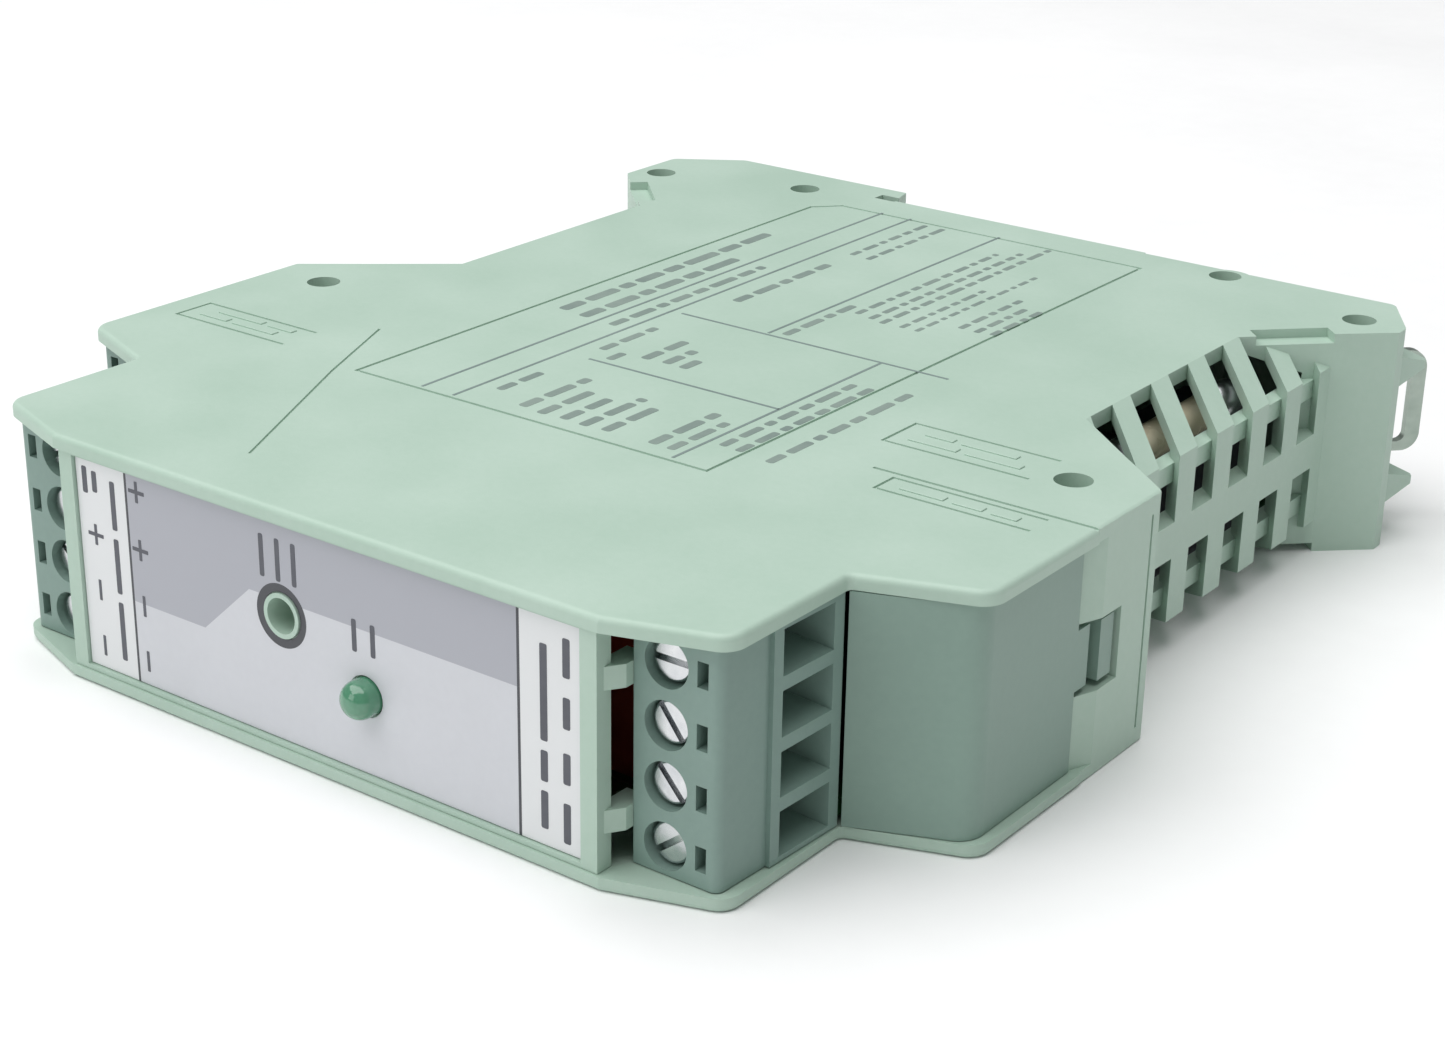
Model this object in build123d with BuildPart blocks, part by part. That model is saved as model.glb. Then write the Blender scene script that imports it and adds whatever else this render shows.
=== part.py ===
from build123d import *
import os
from math import atan2, cos, degrees, radians, sin

os.makedirs("parts", exist_ok=True)

# ---------------------------------------------------------------------------------------------
# Driving dimensions, in millimetres.
# The module lies on its side: X runs along its mounted height (plus X is the mains input end),
# Y runs from the labelled front (minus Y) to the rail, Z runs through its 22.5 mm width.
# "Depth" in every section below is the distance behind the front edge of the side plates.
# ---------------------------------------------------------------------------------------------
WIDTH = 22.5
MID = WIDTH / 2
HALF_HEIGHT = 49.5
RAIL_SEAT = 107.0
HOOK_REAR = 110.7
RAIL_HALF = 17.5

PLATE = 1.25
WALL = 1.6
LOW = PLATE
HIGH = WIDTH - PLATE
EDGE_ROUND = 0.55

PITCH = 5.0
POLES = 4
POLE_HEIGHTS = [MID + PITCH * (POLES - 1) / 2 - PITCH * pole for pole in range(POLES)]

# The terminal bays step back: the second pair of bays is the first pair moved out and back.
BAY_STEP_OUT = 10.4
BAY_STEP_BACK = 18.3

FRONT_HALF = 29.5
SHOULDER = 39.2
SHOULDER_DEPTH = 3.2
BAY_REAR = 17.7
BLOCK_WALL = 49.3
BLOCK_FRONT = 21.5
WALL_START = 36.5
LIP_END = 37.1
BLOCK_REAR = 47.5
WAIST_TOP = 36.2
WAIST_SIDE = 43.0
WAIST_FRONT = 58.4
WAIST_REAR = 87.4
WAIST_WALL_FRONT = 52.7
WAIST_WALL_REAR = 94.2
WAIST_WALL = 2.0
SLOPE_HEIGHT = 3.3
FOOT_RIGHT = 47.7
FOOT_LEFT = 45.8
FOOT_FRONT = 98.6
FOOT_CORNER = 100.2
REAR_WALL = 106.7
SEAT_LEFT = -15.4
SEAT_RIGHT = 15.9

LENS_PROUD = 1.6
EYE_REAR = 113.4
DEPTH_SPAN = EYE_REAR + LENS_PROUD
FRONT = LENS_PROUD - DEPTH_SPAN / 2


# ---------------------------------------------------------------------------------------------
# Helpers: working planes whose local origin is the front of the module
# ---------------------------------------------------------------------------------------------
def level(height):
    """Plan view plane: local x is X, local y is the depth behind the front."""
    return Plane(origin=(0, FRONT, height), x_dir=(1, 0, 0), z_dir=(0, 0, 1))


def facing_front(depth):
    """Front view plane: local x is X, local y is Z, and it looks out of the front."""
    return Plane(origin=(0, FRONT + depth, 0), x_dir=(1, 0, 0), z_dir=(0, -1, 0))


def facing_side(x):
    """Side view plane: local x is the depth, local y is Z, and it looks along plus X."""
    return Plane(origin=(x, FRONT, 0), x_dir=(0, 1, 0), z_dir=(1, 0, 0))


def block(x_range, depth_range, z_range):
    """A private rectangular solid between two values on each axis."""
    with BuildPart(mode=Mode.PRIVATE) as solid:
        with BuildSketch(level(z_range[0])):
            with Locations(((x_range[0] + x_range[1]) / 2, (depth_range[0] + depth_range[1]) / 2)):
                Rectangle(abs(x_range[1] - x_range[0]), depth_range[1] - depth_range[0])
        extrude(amount=z_range[1] - z_range[0])
    return solid.part


def prism(points, z_range):
    """A private upright solid on a plan outline given as (x, depth) corners."""
    with BuildPart(mode=Mode.PRIVATE) as solid:
        with BuildSketch(level(z_range[0])):
            Polygon(*points, align=None)
        extrude(amount=z_range[1] - z_range[0])
    return solid.part


def mirrored(points):
    """The same plan corners on the minus X side."""
    return [(-x, depth) for x, depth in points]


def rod(radius, x, z, depth_range):
    """A private round solid that runs along Y."""
    with BuildPart(mode=Mode.PRIVATE) as solid:
        with BuildSketch(facing_front(depth_range[0])):
            with Locations((x, z)):
                Circle(radius)
        extrude(amount=-(depth_range[1] - depth_range[0]))
    return solid.part


def post(radius, x, depth, z_range):
    """A private round solid that stands along Z."""
    with BuildPart(mode=Mode.PRIVATE) as solid:
        with BuildSketch(level(z_range[0])):
            with Locations((x, depth)):
                Circle(radius)
        extrude(amount=z_range[1] - z_range[0])
    return solid.part


def save(part, name):
    """Label a finished piece and write it to its own file."""
    part.label = name
    export_step(part, f"parts/{name}.step")


def group(solids):
    """Several separate solids that share one node."""
    return Compound(children=solids)


# ---------------------------------------------------------------------------------------------
# Half shells: two mirror halves of the housing, split at half the width
# ---------------------------------------------------------------------------------------------
front_right = [(FRONT_HALF, 0), (SHOULDER, SHOULDER_DEPTH), (SHOULDER, BAY_REAR), (HALF_HEIGHT, BLOCK_FRONT),
               (HALF_HEIGHT, LIP_END), (BLOCK_WALL, LIP_END), (BLOCK_WALL, BLOCK_REAR)]
rear_right = [(WAIST_SIDE, WAIST_WALL_FRONT), (WAIST_SIDE, WAIST_WALL_REAR), (FOOT_RIGHT, FOOT_FRONT),
              (FOOT_RIGHT, FOOT_CORNER), (43.8, REAR_WALL), (SEAT_RIGHT, REAR_WALL), (SEAT_RIGHT, RAIL_SEAT),
              (SEAT_LEFT, RAIL_SEAT), (SEAT_LEFT, REAR_WALL)]
rear_left = [(-18.0, REAR_WALL), (-18.0, RAIL_SEAT + 1.3), (-15.8, RAIL_SEAT + 1.3), (-16.4, HOOK_REAR),
             (-38.9, HOOK_REAR), (-FOOT_LEFT, 105.9), (-FOOT_LEFT, 97.2), (-WAIST_SIDE, WAIST_WALL_REAR),
             (-WAIST_SIDE, WAIST_WALL_FRONT)]
housing_outline = front_right + rear_right + rear_left + mirrored(front_right)[::-1]

# Inside: walls of even thickness at the rear, and open sides where the terminal bays are.
cavity_right = [(60, -5), (60, WALL_START), (BLOCK_WALL - WALL, WALL_START),
                (BLOCK_WALL - WALL, BLOCK_REAR - 0.8), (WAIST_SIDE - WAIST_WALL, 52.3),
                (WAIST_SIDE - WAIST_WALL, 95.1), (FOOT_RIGHT - WALL, 99.6), (FOOT_RIGHT - WALL, 100.0),
                (42.9, RAIL_SEAT - WALL)]
cavity_left = [(-37.5, RAIL_SEAT - WALL), (-FOOT_LEFT + WALL, 104.0), (-FOOT_LEFT + WALL, 98.0),
               (-WAIST_SIDE + WAIST_WALL, 95.1), (-WAIST_SIDE + WAIST_WALL, 52.3)]
cavity_outline = cavity_right + cavity_left + mirrored(cavity_right[:4])[::-1]

# Plan area beside the waist where the plates give way to a slope, outside and inside the wall.
slope_area = [(WAIST_TOP, WAIST_FRONT), (WAIST_SIDE + 1, WAIST_WALL_FRONT - 0.85),
              (WAIST_SIDE + 1, WAIST_WALL_REAR + 0.95), (WAIST_TOP, WAIST_REAR)]
inner_slope_area = [(35.8, 56.9), (42.5, 51.3), (42.5, 95.9), (35.8, 89.2)]
SLOPE_THICKNESS = 1.45
SLOPE_RATE = SLOPE_HEIGHT / (WAIST_SIDE - WAIST_TOP)

BOSS_RADIUS = 2.9
PIN_HOLE_RADIUS = 1.65
PIN_PAIRS = ((42.6, 45.0), (43.0, 99.9), (26.2, 104.8))
pin_places = [(side * x, depth) for side in (1, -1) for x, depth in PIN_PAIRS]

LOUVRE_PITCH = 7.12
LOUVRE_GAP = 3.85
LOUVRE_COUNT = 6
LOUVRE_FIRST = 59.2
WINDOW_LOW = 9.5
louvre_starts = [LOUVRE_FIRST + LOUVRE_PITCH * index for index in range(LOUVRE_COUNT)]

# Catch window in each block wall
CATCH_END = 42.1
CATCH_Z = (MID - 3.4, MID + 3.0)

# Latch chamber in the rear wall, shared by both halves
LATCH_HALF = 5.0
SPRING_DEPTH = 106.2
SPRING_POCKET = (28.3, 37.8)
LATCH_FACE = RAIL_SEAT + 1.2
latch_guide = (20.5, 40.0)


def slope_solid(area, drop, side):
    """The wedge above the sloping edge of the upper plate, over one plan area."""
    top = WIDTH + 1
    reach = WAIST_SIDE + 1 - WAIST_TOP
    edge = WIDTH - drop
    corners = [(WAIST_TOP - 1, edge + SLOPE_RATE), (WAIST_TOP + reach, edge - SLOPE_RATE * reach),
               (WAIST_TOP + reach, top), (WAIST_TOP - 1, top)]
    if side < 0:
        corners = mirrored(corners)
        area = mirrored(area)
    with BuildPart(mode=Mode.PRIVATE) as wedge:
        with BuildSketch(facing_front(40)):
            Polygon(*corners, align=None)
        extrude(amount=-70)
        with BuildSketch(level(0)):
            Polygon(*area, align=None)
        extrude(amount=top + 1, mode=Mode.INTERSECT)
    return wedge.part


def louvre(start, side, z_range):
    """One ventilation slot, cut at 45 degrees through the waist wall, inside the slope area."""
    run = WAIST_SIDE + 1.5 - WAIST_TOP
    slot = [(WAIST_TOP - 0.5, start + 0.5), (WAIST_TOP - 0.5, start + LOUVRE_GAP + 0.5),
            (WAIST_TOP + run, start + LOUVRE_GAP - run), (WAIST_TOP + run, start - run)]
    area = slope_area
    if side < 0:
        slot = mirrored(slot)
        area = mirrored(area)
    with BuildPart(mode=Mode.PRIVATE) as cut:
        with BuildSketch(level(z_range[0])):
            Polygon(*slot, align=None)
            Polygon(*area, align=None, mode=Mode.INTERSECT)
        extrude(amount=z_range[1] - z_range[0])
    return cut.part


FACET_WIDTH = 2.6
FACET_DROP = 0.9


def foot_facet(side):
    """The wide bevel where the foot's plate meets the louvres, cut along its slanting edge."""
    lean = sin(radians(45))
    inner_edge = Plane(origin=(side * 38.9, FRONT + 92.9, WIDTH), x_dir=(side * lean, -lean, 0),
                       z_dir=(side * lean, lean, 0))
    with BuildPart(mode=Mode.PRIVATE) as bevel:
        with BuildSketch(inner_edge):
            drop = -FACET_DROP if side > 0 else FACET_DROP
            Polygon((0, 0), (FACET_WIDTH, drop), (FACET_WIDTH, -drop), (0, -drop), align=None)
        extrude(amount=3.9, both=True)
    return bevel.part


def flip(part):
    """The mirror image of a solid about the parting plane."""
    return part.mirror(Plane.XY.offset(MID))


with BuildPart() as housing:
    with BuildSketch(level(0)) as plan:
        Polygon(*housing_outline, align=None)
        shoulders = plan.vertices().filter_by(lambda v: abs(abs(v.X) - SHOULDER) < 0.01 and v.Y < 8)
        fillet(shoulders, 2.0)
        bay_corners = plan.vertices().filter_by(lambda v: abs(abs(v.X) - SHOULDER) < 0.01 and v.Y > 10)
        fillet(bay_corners, 0.6)
        block_corners = plan.vertices().filter_by(lambda v: abs(abs(v.X) - HALF_HEIGHT) < 0.01 and v.Y < 25)
        fillet(block_corners, 2.2)
        hook_corners = plan.vertices().filter_by(lambda v: v.Y > 100 and abs(v.X) > 38)
        fillet(hook_corners, 1.2)
    extrude(amount=WIDTH)
    # The free edges of both plates are rounded round the terminal bays.
    faces_rims = housing.edges().filter_by(lambda e: e.center().Z < 0.01 or e.center().Z > WIDTH - 0.01)
    rims = faces_rims.filter_by(lambda e: e.center().Y < FRONT + LIP_END - 0.5)
    fillet(rims, EDGE_ROUND)
    for side in (1, -1):
        for cut in (slope_solid(slope_area, 0, side), foot_facet(side)):
            add(cut, mode=Mode.SUBTRACT)
            add(flip(cut), mode=Mode.SUBTRACT)

# The hollow keeps clear of the slopes by their own thickness.
with BuildPart() as hollow:
    with BuildSketch(level(LOW)):
        Polygon(*cavity_outline, align=None)
    extrude(amount=HIGH - LOW)
    for side in (1, -1):
        above = slope_solid(inner_slope_area, SLOPE_THICKNESS, side)
        add(above, mode=Mode.SUBTRACT)
        add(flip(above), mode=Mode.SUBTRACT)

with BuildPart() as shell:
    add(housing.part)
    add(hollow.part, mode=Mode.SUBTRACT)
    # Bosses for the assembly pins, and the solid chamber behind the latch spring.
    for x, depth in pin_places:
        add(post(BOSS_RADIUS, x, depth, (0.2, WIDTH - 0.2)))
    add(block((19.0, 39.5), (102.6, REAR_WALL - 0.2), (0.4, WIDTH - 0.4)))
    add(block(latch_guide, (RAIL_SEAT - 0.5, LATCH_FACE - 0.06), (MID - LATCH_HALF, MID + LATCH_HALF)))
    # Guides that hold the latch plate against the rear wall.
    for z_range, lip in (((MID + LATCH_HALF + 0.25, MID + LATCH_HALF + 1.8), MID + LATCH_HALF - 0.9),
                         ((MID - LATCH_HALF - 1.8, MID - LATCH_HALF - 0.25), MID - LATCH_HALF - 0.65)):
        add(block(latch_guide, (RAIL_SEAT - 0.5, 110.3), z_range))
        add(block(latch_guide, (109.4, 110.3), (lip, lip + 1.55)))
    # Louvred vents: slots through the slope and the wall, with a stringer behind the bend.
    for side in (1, -1):
        for start in louvre_starts:
            add(louvre(start, side, (-1, WINDOW_LOW)), mode=Mode.SUBTRACT)
            add(louvre(start, side, (WIDTH - WINDOW_LOW, WIDTH + 1)), mode=Mode.SUBTRACT)
        for z_range in ((4.4, 6.2), (WIDTH - 6.2, WIDTH - 4.4)):
            ends = sorted((side * (WAIST_SIDE - WAIST_WALL - 0.6), side * (WAIST_SIDE - 1.0)))
            add(block(ends, (53.0, 95.0), z_range))
    # Bevel at the front end of each block wall, the catch window through it, and a fine joint line.
    for side in (1, -1):
        bevel = [(48.2, 35.0), (49.9, 35.0), (49.9, 40.6), (48.2, 35.95)]
        add(prism(bevel if side > 0 else mirrored(bevel), (LOW, HIGH)), mode=Mode.SUBTRACT)
        wall = sorted((side * (BLOCK_WALL - WALL - 0.3), side * (BLOCK_WALL + 0.6)))
        add(block(wall, (35.0, CATCH_END), CATCH_Z), mode=Mode.SUBTRACT)
        groove = sorted((side * (BLOCK_WALL - 0.25), side * (BLOCK_WALL + 0.3)))
        add(block(groove, (46.2, 46.5), (LOW + 0.3, HIGH - 0.5)), mode=Mode.SUBTRACT)
    # Pin holes and the spring pocket.
    for x, depth in pin_places:
        add(post(PIN_HOLE_RADIUS, x, depth, (-1, WIDTH + 1)), mode=Mode.SUBTRACT)
    add(block(SPRING_POCKET, (104.2, LATCH_FACE + 0.5), (MID - 2.2, MID + 2.2)), mode=Mode.SUBTRACT)

# Pointed noses on the chamfered corner of the foot, one each side of the latch eye.
corner = (FOOT_RIGHT - 0.1, REAR_WALL - 0.3)
chamfer_mid = ((FOOT_RIGHT + 43.8) / 2 - 0.8, (FOOT_CORNER + REAR_WALL) / 2 - 0.5)
chamfer_angle = degrees(atan2(REAR_WALL - FOOT_CORNER, 43.8 - FOOT_RIGHT))
outward = Vector(sin(radians(chamfer_angle)), -cos(radians(chamfer_angle)), 0)
along = Vector(cos(radians(chamfer_angle)), sin(radians(chamfer_angle)), 0)
nose_reach = (Vector(corner[0], corner[1]) - Vector(chamfer_mid[0], chamfer_mid[1])).dot(outward)
nose_shift = (Vector(corner[0], corner[1]) - Vector(chamfer_mid[0], chamfer_mid[1])).dot(along)


def nose(height):
    """One centring nose: a wedge that narrows from the chamfer to the square corner."""
    base = Plane(origin=(chamfer_mid[0], FRONT + chamfer_mid[1], height), x_dir=along, z_dir=outward)
    with BuildPart(mode=Mode.PRIVATE) as wedge:
        with BuildSketch(base):
            Rectangle(5.6, 4.0)
        with BuildSketch(base.offset(nose_reach)):
            with Locations((nose_shift, 0)):
                Rectangle(0.7, 0.8)
        loft()
    return wedge.part


NOSE_OFFSET = 6.1

# Engraving on both side plates: the border round the data panel, two small fields, the seam line.
ENGRAVE = 0.18
LINE = 0.35
panel_border = [(-21.3, 27.8), (-21.3, 99.0), (-18.9, 101.6), (18.2, 101.6), (18.2, 27.8)]
seam_line = [(28.5, LIP_END), (49.4, LIP_END)]
hinge_line = [(-13.5, 7.3), (-22.9, 26.3), (-27.9, 37.6)]
small_fields = [((30.9, 45.2), (33.4, 36.2)), ((25.4, 39.5), (42.9, 48.1)), ((-46.0, -31.8), (28.8, 33.1))]


def engraved_line(points, width, height):
    """A shallow engraved line through a few plan points, cut down from the plate's face."""
    with BuildPart(mode=Mode.PRIVATE) as cut:
        for start, end in zip(points, points[1:]):
            length = ((end[0] - start[0]) ** 2 + (end[1] - start[1]) ** 2) ** 0.5
            turn = degrees(atan2(end[1] - start[1], end[0] - start[0]))
            with BuildSketch(level(height - ENGRAVE)):
                with Locations(Location(((start[0] + end[0]) / 2, (start[1] + end[1]) / 2), turn)):
                    Rectangle(length + width, width)
            extrude(amount=ENGRAVE * 2)
    return cut.part


def engrave_upper():
    """Every engraved line of the upper plate, as one cutter."""
    cuts = [engraved_line(panel_border + [panel_border[0]], LINE, WIDTH),
            engraved_line(seam_line, LINE, WIDTH), engraved_line(hinge_line, 0.25, WIDTH)]
    for (x_low, x_high), (near, far) in small_fields:
        cuts.append(engraved_line([(x_high, near), (x_low, near), (x_low, far), (x_high, far)], 0.3, WIDTH))
    return cuts


def half(keep):
    """One half of the shell, with its own pair of details."""
    with BuildPart() as piece:
        add(shell.part)
        split(bisect_by=Plane.XY.offset(MID), keep=keep)
        add(nose(MID + (NOSE_OFFSET if keep == Keep.TOP else -NOSE_OFFSET)))
        if keep == Keep.TOP:
            for cut in engrave_upper():
                add(cut, mode=Mode.SUBTRACT)
    return piece.part


save(half(Keep.TOP), "upper_shell")
save(half(Keep.BOTTOM), "lower_shell")

PIN_RADIUS = 1.6
assembly_pins = []
for x, depth in pin_places:
    assembly_pins.append(post(PIN_RADIUS, x, depth, (4.0, WIDTH - 4.0)))
save(group(assembly_pins), "assembly_pins")

# ---------------------------------------------------------------------------------------------
# Front frame: a shallow tray between the plates, with the label, the trimmer bore and the light
# ---------------------------------------------------------------------------------------------
FRAME_HALF = 29.2
FRAME_FACE = 0.25
FRAME_BACK = 2.4
STILE_BACK = 1.9
LABEL_HALF = 27.6
LABEL_LOW = 1.7
LABEL_HIGH = WIDTH - 1.5
LABEL_RECESS = 0.8
LABEL_THICK = 0.2
TRIMMER = (-3.5, 13.0)
TRIMMER_BORE = 1.55
TRIMMER_RIM = 1.95
LIGHT = (5.5, 8.6)
LIGHT_HOLE = 1.7
TAB_OFFSET = 5.9
TAB_HALF = 0.95
frame_low, frame_high = LOW + 0.05, HIGH - 0.05

with BuildPart() as front_frame:
    add(block((-LABEL_HALF + 0.4, LABEL_HALF - 0.4), (FRAME_FACE, FRAME_BACK), (frame_low, frame_high)))
    add(block((-FRAME_HALF, FRAME_HALF), (FRAME_FACE, STILE_BACK), (frame_low, frame_high)))
    add(block((-LABEL_HALF, LABEL_HALF), (FRAME_FACE - 1, LABEL_RECESS), (LABEL_LOW, LABEL_HIGH)),
        mode=Mode.SUBTRACT)
    add(rod(TRIMMER_RIM, *TRIMMER, (LABEL_RECESS - 0.35, 5.0)))
    add(rod(TRIMMER_BORE, *TRIMMER, (-1, 6.0)), mode=Mode.SUBTRACT)
    add(rod(LIGHT_HOLE, *LIGHT, (-1, 6.0)), mode=Mode.SUBTRACT)
    for side in (1, -1):
        # Two bevelled tabs reach from the stile to the plug beside it.
        for height in (MID - TAB_OFFSET, MID + TAB_OFFSET):
            tab = [(FRAME_HALF - 1.0, 0.9), (FRAME_HALF - 0.1, 0.9), (30.15, 2.5), (30.15, 5.0),
                   (FRAME_HALF - 1.0, 5.0)]
            add(prism(tab if side > 0 else mirrored(tab), (height - TAB_HALF, height + TAB_HALF)))
save(front_frame.part, "front_frame")

with BuildPart() as front_label:
    add(block((-LABEL_HALF + 0.1, LABEL_HALF - 0.1), (LABEL_RECESS - LABEL_THICK, LABEL_RECESS),
              (LABEL_LOW + 0.1, LABEL_HIGH - 0.1)))
    add(rod(TRIMMER_RIM + 0.1, *TRIMMER, (-1, 2.0)), mode=Mode.SUBTRACT)
    add(rod(LIGHT_HOLE + 0.1, *LIGHT, (-1, 2.0)), mode=Mode.SUBTRACT)
save(front_label.part, "front_label")

# Lens: a domed light pipe through the frame, with a flange behind it
with BuildPart() as led_lens:
    add(rod(LIGHT_HOLE - 0.05, *LIGHT, (-LENS_PROUD, FRAME_BACK + 0.1)))
    dome_edge = led_lens.faces().sort_by(Axis.Y)[0].edges()
    fillet(dome_edge, 1.5)
    add(rod(LIGHT_HOLE + 0.6, *LIGHT, (FRAME_BACK + 0.02, FRAME_BACK + 0.8)))
save(led_lens.part, "led_lens")

with BuildPart() as indicator_led:
    add(rod(1.45, *LIGHT, (4.2, 7.6)))
    tip = indicator_led.faces().sort_by(Axis.Y)[0].edges()
    fillet(tip, 1.2)
    add(rod(1.9, *LIGHT, (7.5, 8.3)))
    for offset in (-0.9, 0.9):
        x = LIGHT[0] + offset
        add(block((x - 0.25, x + 0.25), (8.2, 9.4), (LIGHT[1] - 0.25, LIGHT[1] + 0.25)))
        add(block((x - 0.25, x + 0.25), (8.9, 9.4), (1.6, LIGHT[1] + 0.25)))
save(indicator_led.part, "indicator_led")

# ---------------------------------------------------------------------------------------------
# Trimmer: a square body on the board and a slotted rotor behind the bore
# ---------------------------------------------------------------------------------------------
TRIMMER_FRONT = 5.4
TRIMMER_REAR = 10.2
ROTOR_RADIUS = 1.35
with BuildPart() as trimmer_body:
    add(block((TRIMMER[0] - 3.3, TRIMMER[0] + 3.3), (TRIMMER_FRONT, TRIMMER_REAR), (4.2, TRIMMER[1] + 3.4)))
    add(rod(ROTOR_RADIUS + 0.06, *TRIMMER, (TRIMMER_FRONT - 1, TRIMMER_FRONT + 2.6)), mode=Mode.SUBTRACT)
    for offset in (-2.5, 0.0, 2.5):
        x = TRIMMER[0] + offset
        add(block((x - 0.3, x + 0.3), (7.4, 8.0), (1.6, 4.3)))
save(trimmer_body.part, "trimmer_body")

with BuildPart() as trimmer_rotor:
    add(rod(ROTOR_RADIUS, *TRIMMER, (TRIMMER_FRONT - 1.4, TRIMMER_FRONT + 2.5)))
    chamfer(trimmer_rotor.faces().sort_by(Axis.Y)[0].edges(), 0.2)
    slot_half = 0.25
    add(block((TRIMMER[0] - 2, TRIMMER[0] + 2), (TRIMMER_FRONT - 2, TRIMMER_FRONT - 0.7),
              (TRIMMER[1] - slot_half, TRIMMER[1] + slot_half)), mode=Mode.SUBTRACT)
save(trimmer_rotor.part, "trimmer_rotor")

# ---------------------------------------------------------------------------------------------
# Terminal blocks: three equal plugs, each with four screws, four cages and four contacts
# ---------------------------------------------------------------------------------------------
PLUG_INNER = 30.2
PLUG_FACE = 3.3
PLUG_BACK = 17.4
PLUG_OUTER = 39.05
STRIP_END = 8.9
plug_plan = [(PLUG_INNER, PLUG_FACE), (38.1, PLUG_FACE), (38.35, STRIP_END), (38.75, STRIP_END),
             (PLUG_OUTER, PLUG_BACK), (PLUG_INNER, PLUG_BACK)]
PLUG_LOW = LOW + 0.12
PLUG_HIGH = HIGH - 0.12
SCREW_LINE = 33.2
WELL_RADIUS = 2.0
HEAD_RADIUS = 1.75
HEAD_FACE = 4.0
SHELF = (6.2, 7.4)
SHANK_RADIUS = 1.3
SHANK_END = 12.0
CAGE_OPEN = 9.2
CAGE_TRAVEL = 1.5
CAGE_LONG = 7.0
CAGE_HALF = 2.0
CAGE_X = (31.6, 34.8)
CAGE_SHEET = 0.7
CAGE_THREAD = 1.5
CHAMBER_END = 16.6
SLEEVE_X = (30.5, 31.42)
SLEEVE_HALF = 0.85
PIN_LINE = 30.96
PIN_HALF = 0.3
WIRE_DEPTHS = (9.9, 16.2)
WIRE_HALF = 1.95

plugs = {"output": (-1, 0), "signal": (-1, 1), "input": (1, 0)}
slot_angles = {"output": [20, 75, 140, 100], "signal": [60, 10, 120, 35], "input": [0, -52, -48, 38]}


class Bay:
    """Turns distances inside one terminal bay into places on the module."""

    def __init__(self, side, step):
        self.side = side
        self.out = BAY_STEP_OUT * step
        self.back = BAY_STEP_BACK * step

    def x(self, distance):
        return self.side * (distance + self.out)

    def xs(self, near, far):
        return tuple(sorted((self.x(near), self.x(far))))

    def depths(self, near, far):
        return (near + self.back, far + self.back)

    def block(self, x_range, depth_range, z_range):
        return block(self.xs(*x_range), self.depths(*depth_range), z_range)

    def prism(self, points, z_range):
        return prism([(self.x(distance), depth + self.back) for distance, depth in points], z_range)

    def rod(self, radius, distance, z, depth_range):
        return rod(radius, self.x(distance), z, self.depths(*depth_range))


def funnel(bay, z):
    """The tapered mouth that leads a wire from the side into its cage."""
    mouth_depth = sum(WIRE_DEPTHS) / 2 + bay.back
    throat_depth = mouth_depth + 0.7
    with BuildPart(mode=Mode.PRIVATE) as taper:
        with BuildSketch(facing_side(bay.x(PLUG_OUTER + 0.02))):
            with Locations((mouth_depth, z)):
                Rectangle(WIRE_DEPTHS[1] - WIRE_DEPTHS[0], 2 * WIRE_HALF)
        with BuildSketch(facing_side(bay.x(CAGE_X[1] - 0.05))):
            with Locations((throat_depth, z)):
                Rectangle(4.2, 2.8)
        loft()
    return taper.part


def plug_body(bay):
    """The moulded block of one plug: screw wells in front, wire funnels at the side."""
    with BuildPart() as body:
        add(bay.prism(plug_plan, (PLUG_LOW, PLUG_HIGH)))
        front_edge = body.edges().filter_by(Axis.Z).filter_by(
            lambda e: abs(abs(e.center().X) - 38.1 - bay.out) < 0.01 and e.center().Y < FRONT + 5 + bay.back)
        fillet(front_edge, 0.8)
        for z in POLE_HEIGHTS:
            add(bay.rod(WELL_RADIUS, SCREW_LINE, z, (PLUG_FACE - 1, SHELF[0])), mode=Mode.SUBTRACT)
            add(bay.rod(SHANK_RADIUS + 0.1, SCREW_LINE, z, (PLUG_FACE, SHELF[1] + 0.1)), mode=Mode.SUBTRACT)
            add(bay.block((CAGE_X[0] - 0.1, CAGE_X[1] + 0.1), (SHELF[1], CHAMBER_END),
                          (z - CAGE_HALF - 0.1, z + CAGE_HALF + 0.1)), mode=Mode.SUBTRACT)
            add(bay.block((SLEEVE_X[0] - 0.05, CAGE_X[0]), (10.9, PLUG_BACK + 1),
                          (z - SLEEVE_HALF - 0.05, z + SLEEVE_HALF + 0.05)), mode=Mode.SUBTRACT)
            add(funnel(bay, z), mode=Mode.SUBTRACT)
            # Test slot beside each screw, stepped on its inner side.
            add(bay.block((36.0, 37.0), (PLUG_FACE - 1, 7.0), (z - 1.05, z + 1.05)), mode=Mode.SUBTRACT)
    return body.part


def screw(bay, z, angle):
    """A slotted clamp screw: cheese head, shank, and a collar that keeps it in the block."""
    with BuildPart() as piece:
        add(bay.rod(HEAD_RADIUS, SCREW_LINE, z, (HEAD_FACE, SHELF[0] - 0.05)))
        fillet(piece.faces().sort_by(Axis.Y)[0].edges(), 0.25)
        add(bay.rod(SHANK_RADIUS, SCREW_LINE, z, (SHELF[0] - 0.1, SHANK_END)))
        chamfer(piece.faces().sort_by(Axis.Y)[-1].edges(), 0.3)
        slot_plane = facing_front(HEAD_FACE + bay.back)
        with BuildSketch(slot_plane):
            with Locations(Location((bay.x(SCREW_LINE), z), angle)):
                Rectangle(2 * HEAD_RADIUS + 1, 0.55)
        extrude(amount=-0.8, mode=Mode.SUBTRACT)
    return piece.part


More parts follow.
